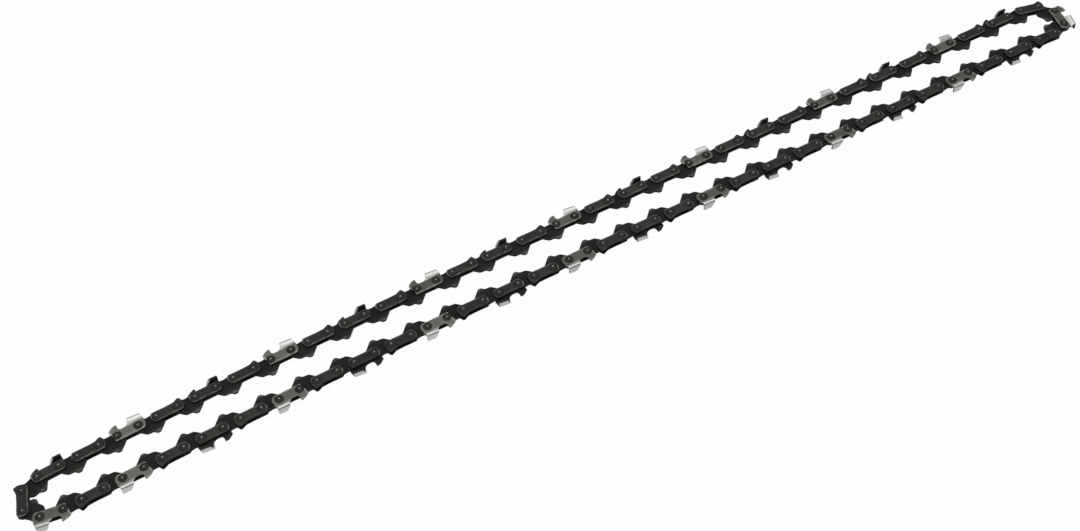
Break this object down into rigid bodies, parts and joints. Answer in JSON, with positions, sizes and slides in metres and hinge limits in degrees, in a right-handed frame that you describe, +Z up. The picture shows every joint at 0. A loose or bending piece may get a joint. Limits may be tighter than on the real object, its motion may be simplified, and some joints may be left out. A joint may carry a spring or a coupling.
{
  "type": "chainsaw chain loop",
  "caption": "Closed saw chain loop of drive links with bar tangs, riveted tie straps and alternating left and right cutters with depth gauges, lying on its side.",
  "frame": {"origin": "centre of the lying loop's outline, on the surface it lies on", "axes": "+X along the loop's length to the nose with a cutter in the turn, +Y to the upper strand of the picture, +Z up out of the loop's side"},
  "size_m": [0.5876, 0.0398, 0.0058],
  "materials": {
    "drive_link": "black oxide",
    "tie_strap": "black oxide",
    "cutter": "satin grey steel with chrome plated teeth",
    "rivet": "dark steel, burnished on the heads"
  },
  "bodies": {
    "left_end": {"left_end_drive_links": "drive_link", "left_end_tie_straps": "tie_strap", "left_end_left_cutters": "cutter", "left_end_right_cutters": "cutter", "left_end_rivets": "rivet"},
    "right_end": {"right_end_drive_links": "drive_link", "right_end_tie_straps": "tie_strap", "right_end_left_cutters": "cutter", "right_end_rivets": "rivet"},
    "top_run_1": {"top_run_1_drive_links": "drive_link", "top_run_1_tie_straps": "tie_strap", "top_run_1_left_cutters": "cutter", "top_run_1_right_cutters": "cutter", "top_run_1_rivets": "rivet"},
    "bottom_run_1": {"bottom_run_1_drive_links": "drive_link", "bottom_run_1_tie_straps": "tie_strap", "bottom_run_1_left_cutters": "cutter", "bottom_run_1_right_cutters": "cutter", "bottom_run_1_rivets": "rivet"},
    "top_run_2": {"top_run_2_drive_links": "drive_link", "top_run_2_tie_straps": "tie_strap", "top_run_2_left_cutters": "cutter", "top_run_2_right_cutters": "cutter", "top_run_2_rivets": "rivet"},
    "bottom_run_2": {"bottom_run_2_drive_links": "drive_link", "bottom_run_2_tie_straps": "tie_strap", "bottom_run_2_left_cutters": "cutter", "bottom_run_2_right_cutters": "cutter", "bottom_run_2_rivets": "rivet"},
    "top_run_3": {"top_run_3_drive_links": "drive_link", "top_run_3_tie_straps": "tie_strap", "top_run_3_left_cutters": "cutter", "top_run_3_right_cutters": "cutter", "top_run_3_rivets": "rivet"},
    "bottom_run_3": {"bottom_run_3_drive_links": "drive_link", "bottom_run_3_tie_straps": "tie_strap", "bottom_run_3_left_cutters": "cutter", "bottom_run_3_right_cutters": "cutter", "bottom_run_3_rivets": "rivet"},
    "top_run_4": {"top_run_4_drive_links": "drive_link", "top_run_4_tie_straps": "tie_strap", "top_run_4_left_cutters": "cutter", "top_run_4_right_cutters": "cutter", "top_run_4_rivets": "rivet"},
    "bottom_run_4": {"bottom_run_4_drive_links": "drive_link", "bottom_run_4_tie_straps": "tie_strap", "bottom_run_4_left_cutters": "cutter", "bottom_run_4_right_cutters": "cutter", "bottom_run_4_rivets": "rivet"},
    "top_run_5": {"top_run_5_drive_links": "drive_link", "top_run_5_tie_straps": "tie_strap", "top_run_5_left_cutters": "cutter", "top_run_5_right_cutters": "cutter", "top_run_5_rivets": "rivet"},
    "bottom_run_5": {"bottom_run_5_drive_links": "drive_link", "bottom_run_5_tie_straps": "tie_strap", "bottom_run_5_left_cutters": "cutter", "bottom_run_5_right_cutters": "cutter", "bottom_run_5_rivets": "rivet"}
  },
  "joints": [
    {"name": "top_hinge_1", "type": "hinge", "parent": "left_end", "child": "top_run_1", "pos_m": [-0.26967, 0.00798, 0.00292], "axis": [0, 0, 1], "range_deg": [-12, 12]},
    {"name": "top_hinge_2", "type": "hinge", "parent": "top_run_1", "child": "top_run_2", "pos_m": [-0.15545, 0.01216, 0.00292], "axis": [0, 0, 1], "range_deg": [-6, 6]},
    {"name": "top_hinge_3", "type": "hinge", "parent": "top_run_2", "child": "top_run_3", "pos_m": [-0.06021, 0.01365, 0.00292], "axis": [0, 0, 1], "range_deg": [-6, 6]},
    {"name": "top_hinge_4", "type": "hinge", "parent": "top_run_3", "child": "top_run_4", "pos_m": [0.05409, 0.01374, 0.00292], "axis": [0, 0, 1], "range_deg": [-6, 6]},
    {"name": "top_hinge_5", "type": "hinge", "parent": "top_run_4", "child": "top_run_5", "pos_m": [0.14934, 0.01374, 0.00292], "axis": [0, 0, 1], "range_deg": [-6, 6]},
    {"name": "top_hinge_6", "type": "hinge", "parent": "top_run_5", "child": "right_end", "pos_m": [0.27244, 0.01374, 0.00292], "axis": [0, 0, 1], "range_deg": [-12, 12]},
    {"name": "bottom_hinge_1", "type": "hinge", "parent": "left_end", "child": "bottom_run_1", "pos_m": [-0.27487, -0.01392, 0.00292], "axis": [0, 0, 1], "range_deg": [-12, 12]},
    {"name": "bottom_hinge_2", "type": "hinge", "parent": "bottom_run_1", "child": "bottom_run_2", "pos_m": [-0.16065, -0.00974, 0.00292], "axis": [0, 0, 1], "range_deg": [-6, 6]},
    {"name": "bottom_hinge_3", "type": "hinge", "parent": "bottom_run_2", "child": "bottom_run_3", "pos_m": [-0.06541, -0.00825, 0.00292], "axis": [0, 0, 1], "range_deg": [-6, 6]},
    {"name": "bottom_hinge_4", "type": "hinge", "parent": "bottom_run_3", "child": "bottom_run_4", "pos_m": [0.04889, -0.00816, 0.00292], "axis": [0, 0, 1], "range_deg": [-6, 6]},
    {"name": "bottom_hinge_5", "type": "hinge", "parent": "bottom_run_4", "child": "bottom_run_5", "pos_m": [0.14414, -0.00816, 0.00292], "axis": [0, 0, 1], "range_deg": [-6, 6]}
  ],
  "couplings": [
    {"joint": "top_hinge_2", "follows": "top_hinge_1", "ratio": -0.5},
    {"joint": "top_hinge_3", "follows": "top_hinge_1", "ratio": -0.5},
    {"joint": "top_hinge_4", "follows": "top_hinge_1", "ratio": -0.5},
    {"joint": "top_hinge_5", "follows": "top_hinge_1", "ratio": -0.5},
    {"joint": "top_hinge_6", "follows": "top_hinge_1", "ratio": 1},
    {"joint": "bottom_hinge_1", "follows": "top_hinge_1", "ratio": 1},
    {"joint": "bottom_hinge_2", "follows": "top_hinge_1", "ratio": -0.5},
    {"joint": "bottom_hinge_3", "follows": "top_hinge_1", "ratio": -0.5},
    {"joint": "bottom_hinge_4", "follows": "top_hinge_1", "ratio": -0.5},
    {"joint": "bottom_hinge_5", "follows": "top_hinge_1", "ratio": -0.5}
  ]
}
